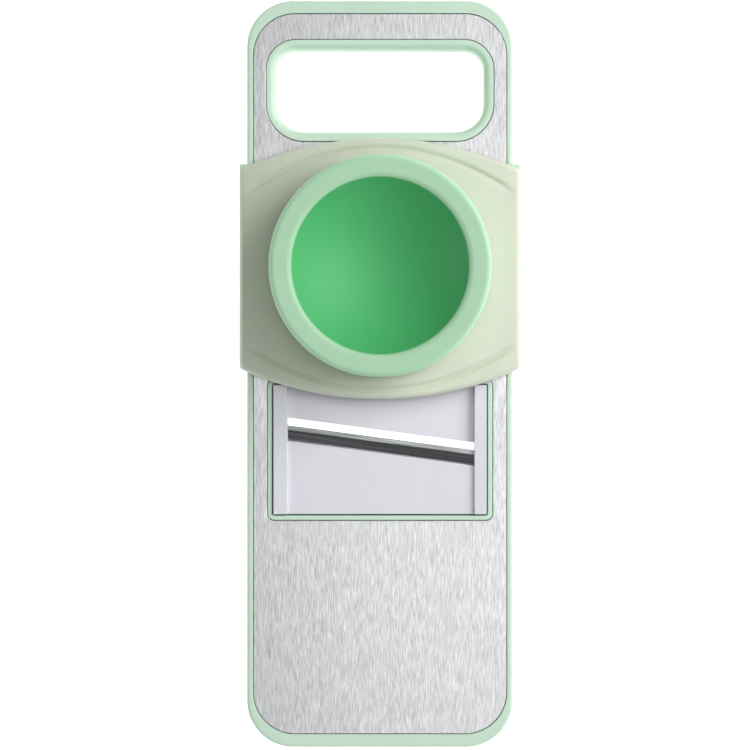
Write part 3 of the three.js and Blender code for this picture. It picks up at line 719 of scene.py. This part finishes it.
def cross_recess(centre, low, size, depth):
    """The cross of a screwdriver's tip, as a solid that reaches up into a screw's head."""
    wing, taper, below = size * 0.27, 0.6, 0.1 * MM
    bm = bmesh.new()
    for x, y in ((size, wing), (wing, size)):
        add_block(bm, Vector((centre.x - x / 2, centre.y - y / 2, low - below)),
                  Vector((centre.x + x / 2, centre.y + y / 2, low + depth)), taper)
    return bm


class SLICER_OT_back_screws(bpy.types.Operator):
    """Pan-head screws that hold the back cover"""
    bl_idname = "slicer.back_screws"
    bl_label = "Back screws"

    def execute(self, context):
        steel = turned_steel()
        for index in range(1, 7):
            name = f"back_screw_{index}"
            size, middle, low, top = span(name)
            head, shank, soft = size.x / 2, 1.3 * MM, 0.5 * MM
            under = low + 1.0 * MM
            point = 2 * MM
            profile = [(0, low)] + round_edge(head - soft, low + soft, soft, 270, 360)
            profile += [(head, under), (shank, under)]
            profile += thread_profile(shank, under, top - point) + [(0, top)]
            bm = bmesh.new()
            lathe(bm, profile, middle, 32)
            finished(bm, f"pan_head_screw_{index}", "board", "screw_steel", steel,
                     replaces=[name], cutter=cross_recess(middle, low, head * 1.25, 0.8 * MM))
        return {"FINISHED"}


def thread_profile(radius, low, high, pitch=0.9 * MM):
    """Ridges of a plastic screw's thread, drawn as rings."""
    count = int((high - low) / pitch)
    root = radius * 0.8
    points = []
    for turn in range(count):
        z = low + turn * (high - low) / count
        points += [(root, z + 0.1 * MM), (root, z + pitch * 0.45),
                   (radius, z + pitch * 0.7), (root, z + pitch * 0.95)]
    return points


class SLICER_OT_feet(bpy.types.Operator):
    """Rubber feet with a softened edge and two grip rings"""
    bl_idname = "slicer.feet"
    bl_label = "Feet"

    def execute(self, context):
        rubber = moulded_rubber()
        for index in range(1, 5):
            size, middle, low, top = span(f"foot_{index}")
            radius, soft = size.x / 2, 0.9 * MM
            dimple, groove = low + 0.35 * MM, low + 0.3 * MM
            profile = [(0, dimple), (1.6 * MM, dimple), (1.9 * MM, low), (3.0 * MM, low),
                       (3.2 * MM, groove), (3.8 * MM, groove), (4.0 * MM, low)]
            profile += round_edge(radius - soft, low + soft, soft, 270, 360)
            profile += [(radius, top), (0, top)]
            bm = bmesh.new()
            lathe(bm, profile, middle, 56)
            finished(bm, f"rubber_foot_{index}", "board", "foot_rubber", rubber,
                     replaces=[f"foot_{index}"])
        return {"FINISHED"}


# ---- Blade insert -----------------------------------------------------------------


class SLICER_OT_insert(bpy.types.Operator):
    """Moulded blade insert: rails, plates and flange with rounded edges"""
    bl_idname = "slicer.insert"
    bl_label = "Insert"

    def execute(self, context):
        softened("insert_frame", "insert_moulding", "insert", "white_plastic", white_abs(),
                 0.5 * MM)
        return {"FINISHED"}


class SLICER_OT_blade(bpy.types.Operator):
    """Slicing blade, polished on its flats and ground along its bevel"""
    bl_idname = "slicer.blade"
    bl_label = "Blade"

    def execute(self, context):
        piece = softened("slicing_blade", "ground_blade", "insert", "blade_steel",
                         polished_blade(), 0.04 * MM, segments=1, min_angle=50,
                         smooth_angle=math.radians(10))
        piece.data.materials.append(ground_bevel())
        for face in piece.data.polygons:
            towards_edge = face.normal.y > 0.2 and face.normal.z > 0.3
            face.material_index = 1 if towards_edge else 0
        return {"FINISHED"}


class SLICER_OT_clamp(bpy.types.Operator):
    """Clamp bar under the blade, with its screws"""
    bl_idname = "slicer.clamp"
    bl_label = "Blade clamp"

    def execute(self, context):
        softened("blade_clamp", "clamp_bar", "insert", "clamp_steel", rolled_steel(), 0.2 * MM)
        steel = turned_steel()
        for index in range(1, 4):
            softened(f"clamp_screw_{index}", f"clamp_pan_screw_{index}", "insert",
                     "screw_steel", steel, 0.25 * MM, min_angle=50)
        return {"FINISHED"}


# ---- Hand guard -------------------------------------------------------------------


class GuardShape:
    """The cover's plan outline and its surface, from the CAD node's box."""

    def __init__(self):
        self.look = guard_sizes()
        size, self.middle, self.low, _ = span("guard_cover")
        self.half_width = size.x / 2
        self.half_length = size.y / 2
        self.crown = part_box("guard_cover")[1].z - self.look.collar_height
        self.bow = self.half_length - self.look.side / 2
        self.arc = (self.half_width ** 2 + self.bow ** 2) / (2 * self.bow)
        self.arch_radius = (self.half_width ** 2 + self.look.arch ** 2) / (2 * self.look.arch)

    def outline(self, count=432):
        """Points and outward normals, evenly spaced round the plan."""
        look, dense = self.look, []
        corner = look.corner
        centre_y = self.half_length - self.arc
        inner_x = self.half_width - corner
        inner = self.arc - corner
        tilt = math.asin(inner_x / inner)
        joint_y = centre_y + inner * math.cos(tilt)
        straight, turn, bow = 40, 24, 60  # steps along each stretch
        for quadrant in range(4):
            sx = 1 if quadrant in (0, 3) else -1
            sy = 1 if quadrant < 2 else -1
            part = []
            for i in range(straight):
                part.append(((self.half_width, joint_y * i / straight), (1.0, 0.0)))
            for i in range(turn):
                angle = (math.pi / 2 - tilt) * i / turn
                normal = (math.cos(angle), math.sin(angle))
                part.append(((inner_x + corner * normal[0], joint_y + corner * normal[1]), normal))
            for i in range(bow + 1):
                angle = tilt * (1 - i / bow)
                normal = (math.sin(angle), math.cos(angle))
                part.append(((self.arc * normal[0], centre_y + self.arc * normal[1]), normal))
            if quadrant in (1, 3):
                part.reverse()
            dense += [((sx * p[0], sy * p[1]), (sx * n[0], sy * n[1])) for p, n in part]
        return resampled(dense, count)

    def height(self, x, y):
        """Height of the cover's upper face at a plan point measured from its middle."""
        look = self.look
        fade_length, step_width, dish_width = 8 * MM, 1.2 * MM, 9 * MM
        fall = self.arch_radius - math.sqrt(max(self.arch_radius ** 2 - x * x, 0.0))
        reach = min(abs(x) / look.band_reach, 1.3)
        line = look.band_middle - look.band_bow * reach ** 2.0
        past = abs(y) - line
        fade = smooth_step((look.band_reach - abs(x)) / fade_length)
        groove = math.exp(-(past / look.band_width) ** 2) * look.band_groove
        band = smooth_step(past / step_width + 0.5) * look.band_rise
        dish = smooth_step(-past / dish_width) * look.band_rise * 0.6
        return self.crown - fall + (band - groove - dish) * fade - look.band_rise * 0.5


def smooth_step(t):
    t = min(max(t, 0.0), 1.0)
    return t * t * (3 - 2 * t)


def resampled(dense, count):
    """Evenly spaced points, with their normals, along a closed line of (point, normal)."""
    lengths = [0.0]
    loop = dense + dense[:1]
    for (a, _), (b, _) in zip(loop, loop[1:]):
        lengths.append(lengths[-1] + math.dist(a, b))
    out, index = [], 0
    for i in range(count):
        target = lengths[-1] * i / count
        while lengths[index + 1] < target:
            index += 1
        part = (target - lengths[index]) / max(lengths[index + 1] - lengths[index], 1e-12)
        (a, na), (b, nb) = loop[index], loop[index + 1]
        point = [a[k] + (b[k] - a[k]) * part for k in (0, 1)]
        normal = Vector([na[k] + (nb[k] - na[k]) * part for k in (0, 1)]).normalized()
        out.append((point, normal))
    return out


class SLICER_OT_guard_cover(bpy.types.Operator):
    """Arched guard cover with a raised band at each end and the collar for the food"""
    bl_idname = "slicer.guard_cover"
    bl_label = "Guard cover"

    def execute(self, context):
        shape = GuardShape()
        look, middle = shape.look, shape.middle
        outline = shape.outline()
        runner_reach, clip_rise = 5 * MM, 1.2 * MM  # the runner's flange, and the clips on it
        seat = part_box("guard_runner_right")[1].z - clip_rise + GAP
        seat_x = shape.half_width - runner_reach - GAP
        collar = look.collar_inner + look.collar_wall
        top = shape.crown + look.collar_height

        def edge_height(x):
            return seat if abs(x) > seat_x else shape.low

        def place(x, y, z):
            return bm.verts.new((middle.x + x, middle.y + y, z))

        def outline_ring(inset, height):
            ring = []
            for (x, y), normal in outline:
                px, py = x - normal.x * inset, y - normal.y * inset
                ring.append(place(px, py, height(px, py, x)))
            return ring

        def between(inset, radius, share, height):
            ring = []
            for (x, y), normal in outline:
                px, py = x - normal.x * inset, y - normal.y * inset
                away = math.hypot(px, py)
                cx, cy = px / away * radius, py / away * radius
                mx, my = px + (cx - px) * share, py + (cy - py) * share
                ring.append(place(mx, my, height(mx, my, x)))
            return ring

        def collar_ring(radius, height):
            ring = []
            for (x, y), _ in outline:
                away = math.hypot(x, y)
                cx, cy = x / away * radius, y / away * radius
                ring.append(place(cx, cy, height(cx, cy, cx)))
            return ring

        bm = bmesh.new()
        edge, wall = look.edge, look.wall
        foot, collar_round = 0.3 * MM, 0.8 * MM
        rings = [outline_ring(foot, lambda x, y, ox: edge_height(ox)),
                 outline_ring(0.0, lambda x, y, ox: edge_height(ox) + foot)]
        for inset, drop in round_edge(edge, -edge, edge, 180, 90, 8):
            rings.append(outline_ring(inset, lambda x, y, ox: shape.height(x, y) + drop))
        fillet = 1.5 * MM
        field, inside = 96, 12  # rings across the upper face, and across the lower one
        for step in range(1, field + 1):
            rings.append(between(edge, collar + fillet, step / field,
                                 lambda x, y, ox: shape.height(x, y)))
        for inset, rise in round_edge(fillet, fillet, fillet, 270, 180)[1:]:
            rings.append(collar_ring(collar + inset, lambda x, y, ox: shape.height(x, y) + rise))
        for inset, drop in round_edge(-collar_round, -collar_round, collar_round, 0, 90):
            rings.append(collar_ring(collar + inset, lambda x, y, ox: top + drop))
        for inset, drop in round_edge(collar_round, -collar_round, collar_round, 90, 180):
            rings.append(collar_ring(look.collar_inner + inset, lambda x, y, ox: top + drop))
        rings.append(collar_ring(look.collar_inner, lambda x, y, ox: shape.low))
        rings.append(collar_ring(collar, lambda x, y, ox: shape.low))
        rings.append(collar_ring(collar, lambda x, y, ox: shape.height(x, y) - wall))
        for step in range(1, inside + 1):
            rings.append(between(wall, collar, 1 - step / inside,
                                 lambda x, y, ox: shape.height(x, y) - wall))
        rings.append(outline_ring(wall, lambda x, y, ox: edge_height(ox)))
        bridge(bm, rings, closed=True)
        finished(bm, "guard_cover_shell", "guard", "cream_plastic", cream_polypropylene(),
                 replaces=["guard_cover"])
        return {"FINISHED"}


class SLICER_OT_guard_runners(bpy.types.Operator):
    """Mint runners that hook into the board's grooves"""
    bl_idname = "slicer.guard_runners"
    bl_label = "Guard runners"

    def execute(self, context):
        mint = mint_abs()
        for side in ("left", "right"):
            softened(f"guard_runner_{side}", f"runner_{side}", "guard", "mint_plastic", mint,
                     0.35 * MM)
        return {"FINISHED"}


# ---- Pusher -----------------------------------------------------------------------


class SLICER_OT_pusher_cup(bpy.types.Operator):
    """Cup with a round dish, a broad rim, a skirt outside the collar and a plug inside it"""
    bl_idname = "slicer.pusher_cup"
    bl_label = "Pusher cup"

    def execute(self, context):
        look = pusher_sizes()
        size, middle, low, top = span("pusher_cup")
        outer = max(abs(c) for c in (size.x, size.y)) / 2
        skirt_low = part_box("guard_cover")[1].z - guard_sizes().collar_height + 1.0 * MM
        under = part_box("guard_cover")[1].z + GAP
        curve, lip = look.bowl_curve, look.lip_round
        tilt = math.asin(look.bowl / curve)
        centre_z = top - lip * (1 - math.cos(tilt)) + curve * math.cos(tilt)
        slope = math.degrees(tilt)
        soft = 0.5 * MM
        profile = round_edge(0, centre_z, curve, 270, 270 + slope, 24)
        profile += round_edge(look.bowl + lip * math.sin(tilt), top - lip, lip,
                              90 + slope, 90, 8)[1:]
        profile += round_edge(outer - look.rim_round, top - look.rim_round, look.rim_round,
                              90, 0, 10)
        profile += round_edge(outer - soft, skirt_low + soft, soft, 0, -90, 4)
        profile += round_edge(look.skirt_inner + soft, skirt_low + soft, soft, 270, 180, 4)
        profile += [(look.skirt_inner, under), (look.plug, under)]
        profile += round_edge(look.plug - soft, low + soft, soft, 0, -90, 4)
        profile += round_edge(look.recess + soft, low + soft, soft, 270, 180, 4)
        shoulder = span("pin_plate")[3] + GAP
        profile += [(look.recess, shoulder), (look.cavity, shoulder)]
        under_curve = curve + look.bowl_wall
        reach = math.degrees(math.asin(look.cavity / under_curve))
        profile += round_edge(0, centre_z, under_curve, 270 + reach, 270, 16)
        bm = bmesh.new()
        lathe(bm, profile, middle, 192)
        finished(bm, "pusher_bowl", "pusher", "green_plastic", green_polypropylene_painted_shade(),
                 replaces=["pusher_cup"])
        return {"FINISHED"}


class SLICER_OT_food_pins(bpy.types.Operator):
    """Pin plate under the bowl, and the steel pins that hold the food"""
    bl_idname = "slicer.food_pins"
    bl_label = "Food pins"

    def execute(self, context):
        softened("pin_plate", "pin_plate_disc", "pusher", "green_plastic",
                 moulded_plastic("green_moulded_plate", colours().green), 0.15 * MM,
                 segments=2)
        steel = turned_steel()
        for index in range(1, 8):
            size, middle, low, top = span(f"food_pin_{index}")
            head, shank, soft = size.x / 2, 1.0 * MM, 0.2 * MM
            under = top - 0.8 * MM
            point = [(0, low), (0.12 * MM, low + 0.1 * MM), (shank * 0.75, low + 1.3 * MM),
                     (shank, low + 2.2 * MM)]
            profile = point + [(shank, under), (head, under)]
            profile += round_edge(head - soft, top - soft, soft, 0, 90, 3)
            bm = bmesh.new()
            lathe(bm, profile + [(0, top)], middle, 28)
            finished(bm, f"steel_pin_{index}", "pusher", "pin_steel", steel,
                     replaces=[f"food_pin_{index}"])
        return {"FINISHED"}


# ---- Stage ------------------------------------------------------------------------

FLOOR_REACH = 3.0  # from the middle to each side
CAMERA_DISTANCE = 1.2  # above the board's face
VIEW_WIDTH = 0.33135  # shown at the board's face
SENSOR = 36.0
CAMERA_X, CAMERA_Y = -0.0022, -0.00055  # a little left of the board's middle


def softbox(name, location, target, size, power):
    """An area light turned towards a target, with its first side level."""
    light = bpy.data.lights.new(name, "AREA")
    light.shape = "RECTANGLE"
    light.size, light.size_y = size
    light.energy = power
    made = bpy.data.objects.new(name, light)
    bpy.context.scene.collection.objects.link(made)
    made.location = location
    back = (Vector(location) - Vector(target)).normalized()
    side = Vector((0, 1, 0)).cross(back).normalized()
    made.rotation_euler = Matrix((side, back.cross(side), back)).transposed().to_euler()


def paper_floor():
    # A sheet of matt white paper, lit from below a little, as on a light table.
    material, shader = new_material("matt_white_paper")
    fibre = stretched_noise(material, (0.8, 0.8, 0.8), 4.0)
    link(material, tinted(material, fibre.outputs["Fac"], linear("F4F4F4"), 0.01).outputs["Color"],
         shader.inputs["Base Color"])
    shade(shader, Roughness=0.9, Emission_Color=(1.0, 1.0, 1.0, 1.0), Emission_Strength=0.8)
    return material


class SLICER_OT_stage(bpy.types.Operator):
    """Pale floor, soft studio light and a camera straight above the board"""
    bl_idname = "slicer.stage"
    bl_label = "Stage"

    def execute(self, context):
        scene = context.scene
        bm = bmesh.new()
        bmesh.ops.create_grid(bm, x_segments=1, y_segments=1, size=FLOOR_REACH)
        mesh = bpy.data.meshes.new("paper_floor")
        bm.to_mesh(mesh)
        bm.free()
        mesh.materials.append(paper_floor())
        floor = bpy.data.objects.new("paper_floor", mesh)
        scene.collection.objects.link(floor)

        # place, target, size and power in watts
        softbox("key_softbox", (2.5, 1.05, 2.05), (0, 0, 0), (2.3, 2.3), 103.0)
        softbox("overhead_softbox", (1.08, 0.0, 1.9), (1.0, 0.0, 0), (2.6, 1.3), 19.0)
        softbox("fill_softbox", (-2.6, 0.0, 0.55), (0, 0, 0), (1.6, 0.6), 17.0)
        softbox("front_softbox", (0.2, -2.6, 0.8), (0, 0, 0), (2.4, 0.8), 9.0)

        world = bpy.data.worlds.new("studio")
        world.use_nodes = True
        world.node_tree.nodes["Background"].inputs["Color"].default_value = (0.8, 0.82, 0.85, 1)
        world.node_tree.nodes["Background"].inputs["Strength"].default_value = 0.14
        scene.world = world
        scene.view_settings.view_transform = "Standard"

        camera = bpy.data.cameras.new("camera")
        camera.sensor_width = SENSOR
        camera.lens = SENSOR * CAMERA_DISTANCE / VIEW_WIDTH
        made = bpy.data.objects.new("camera", camera)
        made.location = (CAMERA_X, CAMERA_Y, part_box("frame")[1].z + CAMERA_DISTANCE)
        scene.collection.objects.link(made)
        scene.camera = made
        return {"FINISHED"}


# ---- Panel, registration and the run ------------------------------------------------

OPERATORS = (
    SLICER_OT_stage, SLICER_OT_frame, SLICER_OT_face_panel, SLICER_OT_back_cover,
    SLICER_OT_back_screws, SLICER_OT_feet, SLICER_OT_insert, SLICER_OT_blade,
    SLICER_OT_clamp, SLICER_OT_guard_cover, SLICER_OT_guard_runners, SLICER_OT_pusher_cup,
    SLICER_OT_food_pins,
)
GROUPS = (("slicer_board", SlicerBoard), ("slicer_guard", SlicerGuard),
          ("slicer_pusher", SlicerPusher), ("slicer_colours", SlicerColours))


class SLICER_PT_panel(bpy.types.Panel):
    """Lists the slicer's sizes, colours and pieces"""
    bl_idname = "SLICER_PT_panel"
    bl_label = "Mandoline slicer"
    bl_space_type = "VIEW_3D"
    bl_region_type = "UI"
    bl_category = "Slicer"

    def draw(self, context):
        for name, group in GROUPS:
            box = self.layout.box()
            box.label(text=group.__name__)
            for key in group.__annotations__:
                box.prop(getattr(context.scene, name), key)
        for operator in OPERATORS:
            self.layout.operator(operator.bl_idname)


def register():
    for name, group in GROUPS:
        bpy.utils.register_class(group)
        setattr(bpy.types.Scene, name, PointerProperty(type=group))
    for operator in OPERATORS:
        bpy.utils.register_class(operator)
    bpy.utils.register_class(SLICER_PT_panel)


def unregister():
    bpy.utils.unregister_class(SLICER_PT_panel)
    for operator in reversed(OPERATORS):
        bpy.utils.unregister_class(operator)
    for name, group in reversed(GROUPS):
        delattr(bpy.types.Scene, name)
        bpy.utils.unregister_class(group)


def main():
    register()
    for operator in OPERATORS:
        group, name = operator.bl_idname.split(".")
        getattr(getattr(bpy.ops, group), name)()


if __name__ == "__main__":
    main()
